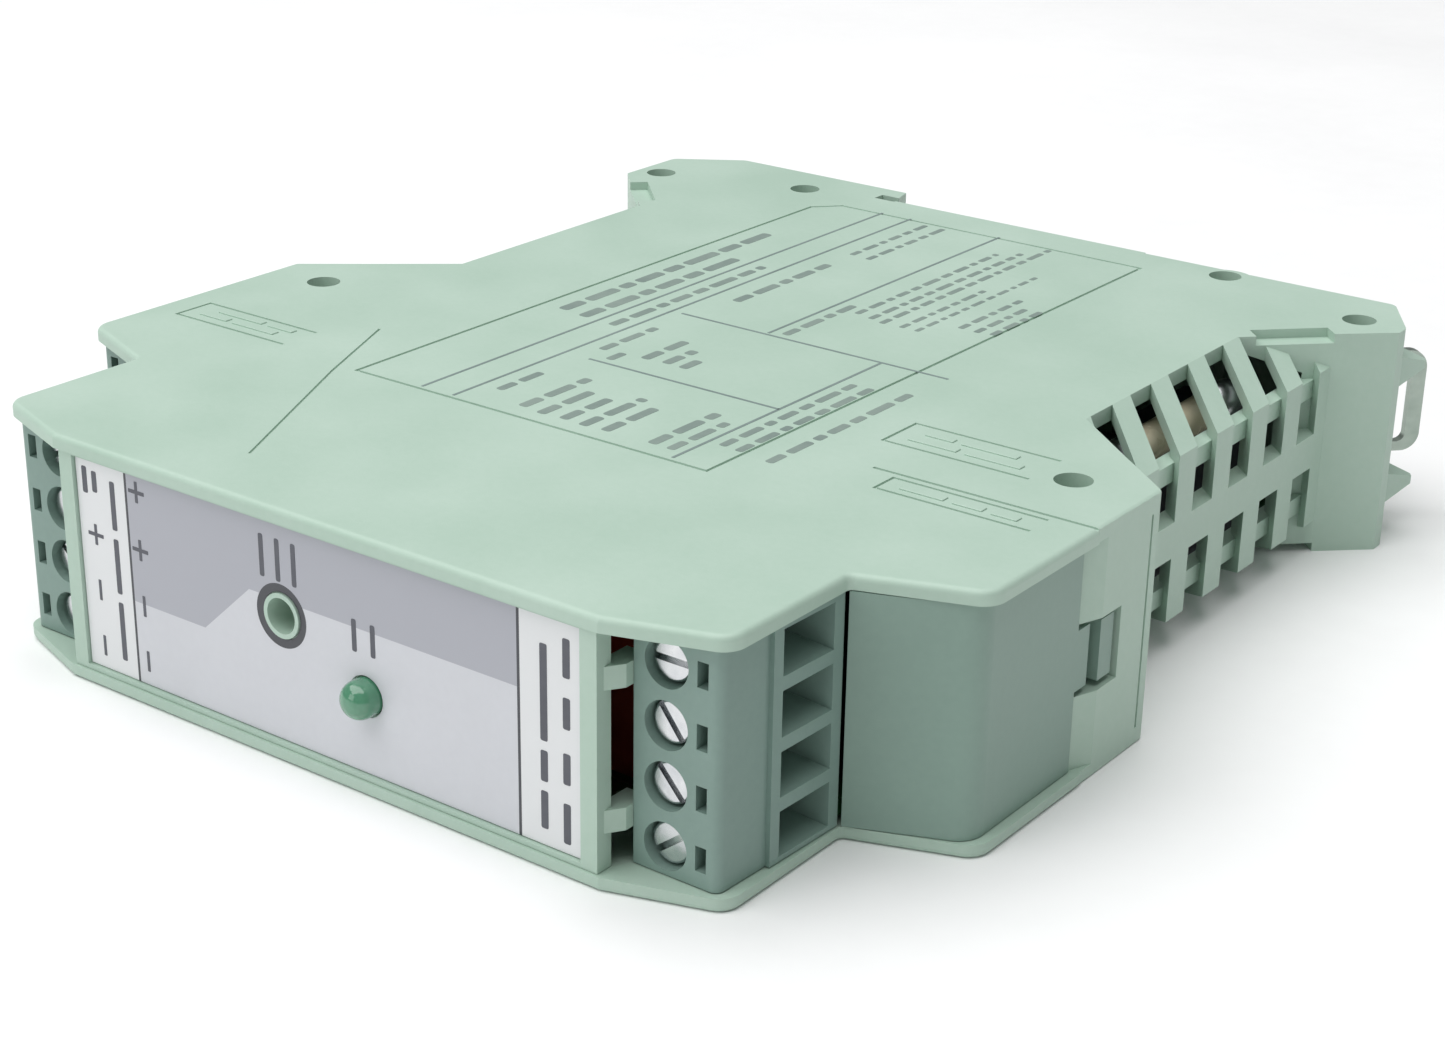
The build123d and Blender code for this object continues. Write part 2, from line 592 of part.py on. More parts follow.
def cage(bay, z):
    """The clamping cage: a square ring of sheet with a threaded front wall, open to the wire."""
    rear = CAGE_OPEN + CAGE_LONG
    with BuildPart() as ring:
        add(bay.block(CAGE_X, (CAGE_OPEN, rear), (z - CAGE_HALF, z + CAGE_HALF)))
        opening = (CAGE_OPEN + CAGE_THREAD, rear - CAGE_SHEET)
        inner_half = CAGE_HALF - CAGE_SHEET
        add(bay.block((CAGE_X[0] - 1, CAGE_X[1] + 1), opening, (z - inner_half, z + inner_half)),
            mode=Mode.SUBTRACT)
        add(bay.rod(SHANK_RADIUS + 0.05, SCREW_LINE, z, (CAGE_OPEN - 1, SHANK_END + CAGE_TRAVEL + 0.2)),
            mode=Mode.SUBTRACT)
    return ring.part


def contact(bay, z):
    """One contact: the bar inside the cage and the square sleeve that grips the header pin."""
    bar = (SHANK_END + 0.15, SHANK_END + 0.85)
    with BuildPart() as piece:
        add(bay.block((SLEEVE_X[0] + 0.05, CAGE_X[1] - 0.1), bar, (z - 0.8, z + 0.8)))
        add(bay.block(SLEEVE_X, (bar[0], PLUG_BACK - 0.1), (z - SLEEVE_HALF, z + SLEEVE_HALF)))
        add(bay.block((PIN_LINE - PIN_HALF - 0.05, PIN_LINE + PIN_HALF + 0.05), (bar[1] + 0.1, PLUG_BACK + 1),
                      (z - PIN_HALF - 0.05, z + PIN_HALF + 0.05)), mode=Mode.SUBTRACT)
    return piece.part


for plug_name, (side, step) in plugs.items():
    bay = Bay(side, step)
    save(plug_body(bay), f"plug_{plug_name}")
    for pole, z in enumerate(POLE_HEIGHTS):
        save(screw(bay, z, slot_angles[plug_name][pole]), f"screw_{plug_name}_{pole + 1}")
        save(cage(bay, z), f"cage_{plug_name}_{pole + 1}")
    save(group([contact(bay, z) for z in POLE_HEIGHTS]), f"contacts_{plug_name}")

# ---------------------------------------------------------------------------------------------
# Headers: the fixed blocks that the plugs push onto, with pins bent down to the board
# ---------------------------------------------------------------------------------------------
HEADER_FRONT = PLUG_BACK + 0.4
HEADER_BACK = 22.6
HEADER_OUTER = 36.8
PIN_TIP = 13.2
BOARD_LOW = 1.75
BOARD_HIGH = 3.2
STAND = BOARD_HIGH + 0.02
PIN_FOOT = BOARD_LOW - 0.2
FIRST_TAIL = 18.6
TAIL_STEP = 1.0


def tail_depth(pole):
    """Where the pin of one pole turns down: the upper the pole, the deeper."""
    return FIRST_TAIL + TAIL_STEP * (POLES - 1 - pole)


def header_body(bay):
    """A block across all four poles, with an angled channel for each pin."""
    channel = (PIN_LINE - PIN_HALF - 0.02, PIN_LINE + PIN_HALF + 0.02)
    with BuildPart() as body:
        add(bay.block((PLUG_INNER, HEADER_OUTER), (HEADER_FRONT, HEADER_BACK), (STAND, HIGH - 0.3)))
        for pole, z in enumerate(POLE_HEIGHTS):
            turn = tail_depth(pole)
            rear = turn + 2 * PIN_HALF + 0.02
            add(bay.block(channel, (HEADER_FRONT - 1, rear), (z - PIN_HALF - 0.02, z + PIN_HALF + 0.02)),
                mode=Mode.SUBTRACT)
            add(bay.block(channel, (turn - 0.02, rear), (0, z + PIN_HALF + 0.02)), mode=Mode.SUBTRACT)
    return body.part


def header_pin(bay, pole, z):
    """A square pin that runs back through the header and turns down into the board."""
    turn = tail_depth(pole)
    x_range = (PIN_LINE - PIN_HALF, PIN_LINE + PIN_HALF)
    with BuildPart() as pin:
        add(bay.block(x_range, (PIN_TIP, turn + 2 * PIN_HALF), (z - PIN_HALF, z + PIN_HALF)))
        add(bay.block(x_range, (turn, turn + 2 * PIN_HALF), (PIN_FOOT, z + PIN_HALF)))
    return pin.part


for plug_name, (side, step) in plugs.items():
    bay = Bay(side, step)
    save(header_body(bay), f"header_{plug_name}")
    pins = [header_pin(bay, pole, z) for pole, z in enumerate(POLE_HEIGHTS)]
    save(group(pins), f"header_pins_{plug_name}")

# ---------------------------------------------------------------------------------------------
# Blanking cover: closes the unused fourth bay, and clips into the window behind it
# ---------------------------------------------------------------------------------------------
COVER_WALL = 1.4
COVER_SIDE = 48.65
COVER_END = 36.35
cover_points = [(39.3, 17.6), (COVER_SIDE, 21.55), (COVER_SIDE, COVER_END),
                (COVER_SIDE - COVER_WALL, COVER_END), (COVER_SIDE - COVER_WALL, 22.6), (39.3, 19.1)]
with BuildPart() as blanking_cover:
    with BuildSketch(level(LOW + 0.08)) as cover_plan:
        Polygon(*cover_points, align=None)
        fillet(cover_plan.vertices().filter_by(lambda v: abs(v.X - COVER_SIDE) < 0.01 and v.Y < 25), 2.4)
    extrude(amount=HIGH - LOW - 0.16)
    # Catch: a tongue through the window in the wall, a gap, and a standing bar behind it.
    add(block((COVER_SIDE - 2.1, COVER_SIDE - 1.2), (34.5, 41.5), (MID - 2.8, MID + 2.6)))
    add(block((COVER_SIDE - 1.3, COVER_SIDE), (34.5, 38.2), (MID - 2.8, MID + 2.6)))
    add(block((COVER_SIDE - 1.3, COVER_SIDE + 0.35), (39.4, 41.5), (MID - 2.8, MID + 2.6)))
    # Rails at top and bottom stiffen the cover.
    for z_range in ((LOW + 0.08, LOW + 1.3), (HIGH - 1.3, HIGH - 0.08)):
        add(prism([(39.5, 19.8), (47.3, 22.8), (47.3, 24.6), (39.5, 21.9)], z_range))
save(blanking_cover.part, "blanking_cover")

# ---------------------------------------------------------------------------------------------
# Foot latch: a sheet metal slider that grips the rail, sprung shut, with a screwdriver eye
# ---------------------------------------------------------------------------------------------
SHEET = 1.0
GRIP = 1.3
EYE_BEND = 41.0
EYE_SLANT = 45.0
EYE_OUTER = 5.4
EYE_STRAP = 1.0
EYE_RUN = 6.4
SPRING_TAB = (SPRING_POCKET[0] + 0.15, SPRING_POCKET[0] + 1.05)
latch_tip = RAIL_HALF - GRIP
slant = Vector(cos(radians(EYE_SLANT)), sin(radians(EYE_SLANT)), 0)
slant_plane = Plane(origin=(EYE_BEND, FRONT + LATCH_FACE, MID), x_dir=slant, z_dir=(-slant.Y, slant.X, 0))
with BuildPart() as foot_latch:
    with BuildSketch(Plane(origin=(0, FRONT + LATCH_FACE, MID), x_dir=(1, 0, 0), z_dir=(0, 1, 0))):
        with Locations(((latch_tip + EYE_BEND) / 2, 0)):
            Rectangle(EYE_BEND - latch_tip + 0.2, 2 * LATCH_HALF)
    extrude(amount=SHEET)
    hook_edges = foot_latch.edges().filter_by(Axis.Z).sort_by(Axis.X)[:2].sort_by(Axis.Y)
    chamfer(hook_edges[0], 0.6)
    with BuildSketch(slant_plane) as eye_plan:
        with Locations((EYE_RUN / 2 - 0.3, 0)):
            RectangleRounded(EYE_RUN + 0.6, 2 * EYE_OUTER, 1.9)
        with Locations(((EYE_RUN - EYE_STRAP) / 2, 0)):
            RectangleRounded(EYE_RUN - EYE_STRAP - 1.0, 2 * (EYE_OUTER - EYE_STRAP), 0.9, mode=Mode.SUBTRACT)
    extrude(amount=SHEET)
    # Tab that the spring pushes on.
    add(block(SPRING_TAB, (104.8, LATCH_FACE + 0.2), (MID - 1.5, MID + 1.5)))
save(foot_latch.part, "foot_latch")

COIL_RADIUS = 1.35
WIRE_RADIUS = 0.22
SPRING_TURNS = 7
spring_start = SPRING_TAB[1] + WIRE_RADIUS + 0.03
spring_end = SPRING_POCKET[1] - WIRE_RADIUS - 0.05
spring_pitch = (spring_end - spring_start) / SPRING_TURNS
with BuildPart() as latch_spring:
    with BuildLine():
        coil = Helix(pitch=spring_pitch, height=spring_end - spring_start, radius=COIL_RADIUS)
    with BuildSketch(Plane(origin=coil @ 0, z_dir=coil % 0)):
        Circle(WIRE_RADIUS)
    sweep(path=coil.edges()[0], is_frenet=True)
spring_part = latch_spring.part.rotate(Axis.Y, 90).moved(Location((spring_start, FRONT + SPRING_DEPTH, MID)))
save(spring_part, "latch_spring")

# ---------------------------------------------------------------------------------------------
# Circuit board and what stands on it
# ---------------------------------------------------------------------------------------------
board_rear = [(38.6, 49.5), (35.4, 52.8), (35.4, 91.6), (38.5, 95.8), (38.5, 100.6), (18.0, 100.6)]
board_right = [(27.0, 6.2), (27.0, HEADER_FRONT), (38.6, HEADER_FRONT)] + board_rear
board_left = [(-27.0, 6.2), (-27.0, HEADER_FRONT), (-38.6, HEADER_FRONT), (-38.6, 36.3), (-47.2, 36.3),
              (-47.2, 45.6), (-43.4, 49.0)] + mirrored(board_rear[1:])
with BuildPart() as circuit_board:
    with BuildSketch(level(BOARD_LOW)):
        Polygon(*(board_right + board_left[::-1]), align=None)
    extrude(amount=BOARD_HIGH - BOARD_LOW)
    for x, depth in pin_places:
        add(post(BOSS_RADIUS + 0.3, x, depth, (0, 6)), mode=Mode.SUBTRACT)
    for side, step in plugs.values():
        bay = Bay(side, step)
        for pole in range(POLES):
            turn = tail_depth(pole)
            add(bay.block((PIN_LINE - 0.4, PIN_LINE + 0.4), (turn - 0.1, turn + 0.7), (0, 6)),
                mode=Mode.SUBTRACT)
    for offset in (-2.5, 0.0, 2.5):
        x = TRIMMER[0] + offset
        add(block((x - 0.4, x + 0.4), (7.3, 8.1), (0, 6)), mode=Mode.SUBTRACT)
    for offset in (-0.9, 0.9):
        x = LIGHT[0] + offset
        add(block((x - 0.35, x + 0.35), (8.8, 9.5), (0, 6)), mode=Mode.SUBTRACT)
save(circuit_board.part, "circuit_board")

# Transformer: an E shaped ferrite pair round a wound bobbin
CORE_LEG = 3.7
LEG_Z = (STAND + 4.0, STAND + 11.5)
with BuildPart() as transformer_core:
    add(block((-12.5, 12.5), (62.0, 86.0), (STAND + 2.0, 19.0)))
    for x_range in ((-9.3, -CORE_LEG), (CORE_LEG, 9.3)):
        add(block(x_range, (65.5, 82.5), (STAND, 21.0)), mode=Mode.SUBTRACT)
    for z_range in ((STAND, LEG_Z[0]), (LEG_Z[1], 21.0)):
        add(block((-CORE_LEG, CORE_LEG), (65.5, 82.5), z_range), mode=Mode.SUBTRACT)
save(transformer_core.part, "transformer_core")

with BuildPart() as transformer_winding:
    add(block((-9.1, 9.1), (65.7, 82.3), (STAND, 20.6)))
    fillet(transformer_winding.edges().filter_by(Axis.Y), 0.8)
    add(block((-CORE_LEG - 0.1, CORE_LEG + 0.1), (60.0, 90.0), (LEG_Z[0] - 0.1, LEG_Z[1] + 0.1)),
        mode=Mode.SUBTRACT)
save(transformer_winding.part, "transformer_winding")

with BuildPart() as bulk_capacitor:
    add(rod(7.0, -24.0, STAND + 7.0, (60.0, 88.0)))
    fillet(bulk_capacitor.faces().sort_by(Axis.Y)[-1].edges(), 0.8)
    fillet(bulk_capacitor.faces().sort_by(Axis.Y)[0].edges(), 0.8)
save(bulk_capacitor.part, "bulk_capacitor")

output_capacitors = []
for depth in (32.0, 44.0):
    with BuildPart() as can:
        add(post(5.0, -20.0, depth, (STAND, 19.6)))
        fillet(can.faces().sort_by(Axis.Z)[-1].edges(), 0.6)
    output_capacitors.append(can.part)
save(group(output_capacitors), "output_capacitors")

with BuildPart() as heat_sink:
    add(block((-14.0, 22.0), (53.5, 55.5), (STAND, 20.6)))
    for x in (-13.0, -8.0, -3.0, 2.0, 7.0, 12.0, 17.0):
        add(block((x, x + 1.0), (55.4, 58.5), (STAND + 2.0, 20.6)))
save(heat_sink.part, "heat_sink")

with BuildPart() as power_transistor:
    add(block((4.0, 14.0), (49.0, 53.45), (STAND + 2.0, 17.0)))
    add(rod(1.6, 9.0, 15.0, (48.0, 54.0)), mode=Mode.SUBTRACT)
    for x in (6.4, 9.0, 11.6):
        add(block((x - 0.35, x + 0.35), (51.0, 51.5), (STAND, STAND + 2.1)))
save(power_transistor.part, "power_transistor")

with BuildPart() as line_filter:
    add(block((29.5, 38.5), (57.5, 74.5), (STAND, 15.2)))
    add(block((29.5, 38.5), (76.0, 91.0), (STAND, 15.2)))
    add(block((31.0, 37.0), (74.4, 76.1), (STAND, 8.0)))
    fillet(line_filter.edges().filter_by(Axis.Z), 0.4)
save(line_filter.part, "line_filter")

with BuildPart() as film_capacitor:
    add(block((13.0, 26.5), (11.0, 17.0), (STAND, 19.5)))
    fillet(film_capacitor.edges().filter_by(Axis.Z), 0.8)
save(film_capacitor.part, "film_capacitor")

with BuildPart() as ceramic_fuse:
    add(rod(1.7, 36.4, 16.95, (62.0, 86.0)))
save(ceramic_fuse.part, "ceramic_fuse")

with BuildPart() as optocoupler:
    add(block((-3.5, 3.5), (34.0, 39.0), (STAND + 0.8, STAND + 4.2)))
    for x in (-3.9, 3.4):
        for depth in (35.0, 37.5):
            add(block((x, x + 0.5), (depth, depth + 0.5), (STAND, STAND + 2.6)))
save(optocoupler.part, "optocoupler")
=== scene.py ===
# %% [markdown]
# # A narrow power supply for a DIN rail
# A sage green plastic housing, made of two half shells, holds a small switched power supply.
# Four-pole plugs sit in three of its four front corners, and a steel foot latch grips the rail.
# The solid shapes, joints and sizes come from the imported model, which is loaded here as a fixed
# frame. This script gives every part a finish, and adds a few details that the solid model
# leaves out: printed ink, raised bars, fuse caps and capacitor lids. It also puts a copy in place
# of the latch spring.

# %% Load the frame
import math

import bmesh
import bpy
from mathutils import Matrix, Vector


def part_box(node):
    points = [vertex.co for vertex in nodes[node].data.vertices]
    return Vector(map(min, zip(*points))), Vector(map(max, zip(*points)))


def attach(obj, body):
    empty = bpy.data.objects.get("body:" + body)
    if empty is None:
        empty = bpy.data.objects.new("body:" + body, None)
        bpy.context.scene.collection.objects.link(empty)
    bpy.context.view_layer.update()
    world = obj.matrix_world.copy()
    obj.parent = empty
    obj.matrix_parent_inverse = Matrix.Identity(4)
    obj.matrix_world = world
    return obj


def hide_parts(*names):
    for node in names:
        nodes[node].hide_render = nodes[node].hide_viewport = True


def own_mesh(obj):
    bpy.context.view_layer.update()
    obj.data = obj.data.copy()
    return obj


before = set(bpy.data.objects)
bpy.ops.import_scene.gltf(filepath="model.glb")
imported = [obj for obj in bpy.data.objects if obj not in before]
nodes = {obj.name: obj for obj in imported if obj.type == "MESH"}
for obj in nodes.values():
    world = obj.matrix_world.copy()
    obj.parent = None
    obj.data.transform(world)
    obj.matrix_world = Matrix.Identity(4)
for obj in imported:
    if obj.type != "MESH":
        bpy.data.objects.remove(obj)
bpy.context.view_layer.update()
print("nodes in the frame:", len(nodes))


# %% [markdown]
# The housing's own drawing counts depth from the front edge of its side plates, x across the
# front and z through its thickness. One short helper turns those millimetres into the frame's
# metres, so every later size can be read against a drawing. The housing is 22.5 mm thick, and
# its front edge comes from the box of the front frame, whose face stands 0.25 mm behind it.

# %% Millimetres on the drawing to metres in the frame
MM = 0.001
FRAME_SETBACK = 0.25
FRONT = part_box("front_frame")[0][1] / MM - FRAME_SETBACK
THICKNESS = 22.5


def at(x, depth, z):
    """A point of the drawing, in metres."""
    return Vector((x, FRONT + depth, z)) * MM


print("front edge at y =", round(FRONT, 2), "mm")


# %% [markdown]
# The camera looks down on the front right corner from about a quarter of a metre away, with a
# short telephoto lens. A camera's matrix has its right, up and backward directions as columns,
# so the three angles are turned into those directions and written straight into the matrix.

# %% Camera
CAMERA_PLACE = (136.138, -185.414, 99.149)
CAMERA_LENS = 64.45
CAMERA_TURN = math.radians(36.461)
CAMERA_RISE = math.radians(22.513)
CAMERA_ROLL = math.radians(0.964)

back = Vector((math.sin(CAMERA_TURN) * math.cos(CAMERA_RISE),
               -math.cos(CAMERA_TURN) * math.cos(CAMERA_RISE),
               math.sin(CAMERA_RISE)))
level = Vector((math.cos(CAMERA_TURN), math.sin(CAMERA_TURN), 0))
upright = back.cross(level)
right = level * math.cos(CAMERA_ROLL) + upright * math.sin(CAMERA_ROLL)
up = upright * math.cos(CAMERA_ROLL) - level * math.sin(CAMERA_ROLL)

camera_data = bpy.data.cameras.new("camera")
camera_data.sensor_width = 36
camera_data.lens = CAMERA_LENS
camera_data.clip_start = 0.01
camera = bpy.data.objects.new("camera", camera_data)
camera.matrix_world = Matrix((right, up, back)).transposed().to_4x4()
camera.matrix_world.translation = Vector(CAMERA_PLACE) * MM
bpy.context.scene.collection.objects.link(camera)
bpy.context.scene.camera = camera
print("camera to object:", round(camera.matrix_world.translation.length, 3), "m")


# %% [markdown]
# Paint and plastic colours are usually quoted as sRGB hex values, while the shader works in
# linear light. One function does that turn for every colour. A second one adds a node with its
# settings and links in one line, which keeps the node trees below readable.

# %% Colour and node helpers
def linear(hex_colour, alpha=1.0):
    """An sRGB hex colour as linear red, green, blue and alpha."""
    channels = [int(hex_colour[i:i + 2], 16) / 255 for i in (1, 3, 5)]
    turned = [c / 12.92 if c <= 0.04045 else ((c + 0.055) / 1.055) ** 2.4 for c in channels]
    return (*turned, alpha)


def add_node(tree, kind, links=None, **settings):
    """Adds a node. A socket in links takes another node's output or a value."""
    node = tree.nodes.new(kind)
    for name, value in settings.items():
        setattr(node, name, value)
    for name, value in (links or {}).items():
        if isinstance(value, bpy.types.NodeSocket):
            tree.links.new(value, node.inputs[name])
        else:
            node.inputs[name].default_value = value
    return node


print("mid grey in linear light:", round(linear("#808080")[0], 3))


# %% [markdown]
# The finishes on this object share a build-up: a slow drift of tone, a finer speckle, a surface
# grain that tilts the light, and a roughness that wanders a little with the drift. One function
# lays those down on Object coordinates, so that a pattern stays fixed to its part. The scales
# are sizes in millimetres. Grain under 0.2 mm would vanish at this distance, so the finest is
# drawn at about 0.25 mm. The speckle is coarser than the grain, and adds less than the drift.

# %% The shared build-up of a finish
SPECKLE_TIMES_GRAIN = 2.5
DRIFT_SHARE = 0.75
SPECKLE_SHARE = 0.25
TONE_DARK = 0.32
TONE_LIGHT = 0.68
DRIFT_LOW = 0.3
DRIFT_HIGH = 0.7


def finish(name, light, dark, roughness, grain_mm, grain_depth_mm, drift_mm=14.0, metallic=0.0,
           stretch=(1, 1, 1), wander=0.06, ior=None):
    """A material with drifting tone, speckle, grain bump and wandering roughness."""
    material = bpy.data.materials.new(name)
    material.use_nodes = True
    tree = material.node_tree
    shader = tree.nodes["Principled BSDF"]
    shader.inputs["Metallic"].default_value = metallic
    if ior:
        shader.inputs["IOR"].default_value = ior
    place = add_node(tree, "ShaderNodeTexCoord")
    spread = add_node(tree, "ShaderNodeMapping", {"Vector": place.outputs["Object"],
                                                  "Scale": stretch})
    drift = add_node(tree, "ShaderNodeTexNoise", {"Vector": spread.outputs["Vector"],
                                                  "Scale": 1 / (drift_mm * MM), "Detail": 3.0})
    speckle_mm = SPECKLE_TIMES_GRAIN * grain_mm
    speckle = add_node(tree, "ShaderNodeTexNoise", {"Vector": spread.outputs["Vector"],
                                                    "Scale": 1 / (speckle_mm * MM),
                                                    "Detail": 2.0})
    tone = add_node(tree, "ShaderNodeMath", {0: drift.outputs["Fac"], 1: DRIFT_SHARE},
                    operation="MULTIPLY")
    mixed = add_node(tree, "ShaderNodeMath", {0: speckle.outputs["Fac"], 1: SPECKLE_SHARE,
                                              2: tone.outputs[0]}, operation="MULTIPLY_ADD")
    ramp = add_node(tree, "ShaderNodeValToRGB", {"Fac": mixed.outputs[0]})
    ramp.color_ramp.elements[0].position = TONE_DARK
    ramp.color_ramp.elements[0].color = linear(dark)
    ramp.color_ramp.elements[1].position = TONE_LIGHT
    ramp.color_ramp.elements[1].color = linear(light)
    tree.links.new(ramp.outputs["Color"], shader.inputs["Base Color"])
    polish = add_node(tree, "ShaderNodeMapRange", {"Value": drift.outputs["Fac"],
                                                   "From Min": DRIFT_LOW, "From Max": DRIFT_HIGH,
                                                   "To Min": roughness - wander,
                                                   "To Max": roughness + wander})
    tree.links.new(polish.outputs["Result"], shader.inputs["Roughness"])
    grain = add_node(tree, "ShaderNodeTexNoise", {"Vector": spread.outputs["Vector"],
                                                  "Scale": 1 / (grain_mm * MM), "Detail": 2.0,
                                                  "Roughness": 0.6})
    bump = add_node(tree, "ShaderNodeBump", {"Height": grain.outputs["Fac"],
                                             "Distance": grain_depth_mm * MM, "Strength": 1.0})
    tree.links.new(bump.outputs["Normal"], shader.inputs["Normal"])
    return material


def wear(material, node_names):
    """Gives CAD nodes their finish, in every material slot of their mesh."""
    for node_name in node_names:
        slots = nodes[node_name].data.materials
        for index in range(len(slots)):
            slots[index] = material
        if not slots:
            slots.append(material)


print("finish helper ready")


# %% [markdown]
# The shells and front frame are injection moulded polyamide, in tools that were spark eroded.
# That leaves a fine, even, matt grain and a soft highlight with no clear reflection. A large
# moulding is slightly uneven in tone, so the green drifts a little. The plugs and the blanking
# cover are the same resin, some shades deeper.

# %% Moulded polyamide: housing and plugs
housing_plastic = finish("polyamide moulded sage green", light="#B4CABC", dark="#ABC4B4",
                         roughness=0.5, grain_mm=0.3, grain_depth_mm=0.010, ior=1.53)
terminal_plastic = finish("polyamide moulded deeper green", light="#839C93", dark="#7A938A",
                          roughness=0.46, grain_mm=0.28, grain_depth_mm=0.008, ior=1.53)
cover_plastic = finish("polyamide moulded cover green", light="#86A094", dark="#7F998D",
                       roughness=0.42, grain_mm=0.3, grain_depth_mm=0.006, ior=1.53)
wear(housing_plastic, ["upper_shell", "lower_shell", "front_frame", "assembly_pins"])
wear(cover_plastic, ["blanking_cover"])
PLUGS = ("output", "signal", "input")
wear(terminal_plastic, [f"plug_{name}" for name in PLUGS])
print("green plastics:", housing_plastic.name, "/", terminal_plastic.name)


# %% [markdown]
# Screws, cages and contacts are plated. Bright nickel on the screw heads is smooth, so it shows
# small sharp highlights. The bent cages are satin nickel on rolled sheet, and their noise is
# stretched along the depth to suggest rolling lines. Tin is warmer and softer. The foot latch is
# zinc plated sheet with a greenish passivated film, its noise stretched along x.

# %% Plated metals
screw_nickel = finish("nickel plated steel screw", light="#E2E3E4", dark="#C3C6C9",
                      roughness=0.2, grain_mm=0.25, grain_depth_mm=0.003, drift_mm=2.0,
                      metallic=1.0, wander=0.05)
cage_nickel = finish("nickel plated rolled sheet", light="#CED0D2", dark="#B4B7BA",
                     roughness=0.32, grain_mm=0.3, grain_depth_mm=0.003, drift_mm=4.0,
                     metallic=1.0, stretch=(1, 0.15, 1))
contact_tin = finish("tin plated copper alloy", light="#D4CFC2", dark="#B9B4A6",
                     roughness=0.36, grain_mm=0.3, grain_depth_mm=0.003, drift_mm=3.0,
                     metallic=1.0)
latch_zinc = finish("zinc plated passivated steel", light="#B4C0B6", dark="#93A197",
                    roughness=0.34, grain_mm=0.35, grain_depth_mm=0.006, drift_mm=5.0,
                    metallic=1.0, stretch=(0.2, 1, 1))
spring_wire = finish("drawn spring steel wire", light="#A6A8AC", dark="#86888C",
                     roughness=0.28, grain_mm=0.25, grain_depth_mm=0.002, drift_mm=2.0,
                     metallic=1.0)
wear(screw_nickel, [f"screw_{name}_{k}" for name in PLUGS for k in range(1, 5)])
wear(cage_nickel, [f"cage_{name}_{k}" for name in PLUGS for k in range(1, 5)])
wear(contact_tin, [f"contacts_{name}" for name in PLUGS])
wear(contact_tin, [f"header_pins_{name}" for name in PLUGS])
wear(latch_zinc, ["foot_latch"])
wear(spring_wire, ["latch_spring"])
plated = (screw_nickel, cage_nickel, contact_tin, latch_zinc, spring_wire)
print("plated metals:", ", ".join(metal.name for metal in plated))


# %% [markdown]
# Inside, each component has the usual finish of its kind. The board is glass laminate under
# glossy green solder resist. Ferrite is a dark, dull, sintered ceramic. The capacitor cans wear
# shrunk black sleeves, the film capacitor has a red case and the trimmer a blue one, and the
# heat sink is plain extruded aluminium, whose noise is stretched along the depth.

# %% Component finishes
board_laminate = finish("glass laminate with green resist", light="#2F6B3C", dark="#255A31",
                        roughness=0.32, grain_mm=0.6, grain_depth_mm=0.010, drift_mm=6.0)
ferrite = finish("sintered ferrite", light="#44444A", dark="#303036", roughness=0.62,
                 grain_mm=0.25, grain_depth_mm=0.015, drift_mm=5.0)
winding_tape = finish("yellow polyester winding tape", light="#D2AC40", dark="#BE9730",
                      roughness=0.3, grain_mm=0.8, grain_depth_mm=0.02, drift_mm=4.0,
                      stretch=(0.2, 1, 1))
component_black = finish("black shrunk sleeve and epoxy case", light="#26272B", dark="#19191C",
                         roughness=0.38, grain_mm=0.3, grain_depth_mm=0.008, drift_mm=5.0)
header_black = finish("black glass filled polyamide header", light="#2B2C2F", dark="#1E1F22",
                      roughness=0.5, grain_mm=0.3, grain_depth_mm=0.010, drift_mm=5.0)
heat_sink_aluminium = finish("extruded aluminium", light="#C9CCCF", dark="#AEB2B6",
                             roughness=0.34, grain_mm=0.35, grain_depth_mm=0.006,
                             drift_mm=5.0, metallic=1.0, stretch=(1, 0.12, 1))
component_red = finish("red dipped capacitor case", light="#AE4634", dark="#993A2A",
                       roughness=0.34, grain_mm=0.6, grain_depth_mm=0.012, drift_mm=5.0)
component_blue = finish("blue moulded trimmer case", light="#3A68B0", dark="#2E5799",
                        roughness=0.36, grain_mm=0.25, grain_depth_mm=0.006, drift_mm=3.0)
component_white = finish("white acetal rotor", light="#ECEAE2", dark="#DEDBD1",
                         roughness=0.38, grain_mm=0.25, grain_depth_mm=0.005, drift_mm=2.0)
component_cream = finish("cream glazed ceramic", light="#E9DFC6", dark="#D9CCB0",
                         roughness=0.28, grain_mm=0.4, grain_depth_mm=0.006, drift_mm=3.0)
print("cream component finish:", component_cream.name)


# %% [markdown]
# Each inner part is paired with the finish of its material slot in one table, and one loop
# dresses them all. A table is easier to read and to correct than a line of code a part.

# %% Dress the inner parts
INNER = {"circuit_board": board_laminate, "transformer_core": ferrite,
         "transformer_winding": winding_tape, "bulk_capacitor": component_black,
         "output_capacitors": component_black, "heat_sink": heat_sink_aluminium,
         "power_transistor": component_black, "line_filter": ferrite,
         "film_capacitor": component_red, "ceramic_fuse": component_cream,
         "optocoupler": component_black, "trimmer_body": component_blue,
         "trimmer_rotor": component_white}
for node_name, inner_finish in INNER.items():
    wear(inner_finish, [node_name])
wear(header_black, [f"header_{name}" for name in PLUGS])
print("inner parts dressed:", len(INNER) + len(PLUGS))


# %% [markdown]
# The indicator is a light guide moulded in clear green polycarbonate. It is a solid bead whose
# dome gathers the room's light, so it looks deep green with one bright highlight. A little of
# the light passes through it, and a thin coat of extra gloss stands for the polished dome.

# %% Green light guide
DOME_COAT = 0.6
DOME_COAT_ROUGHNESS = 0.04


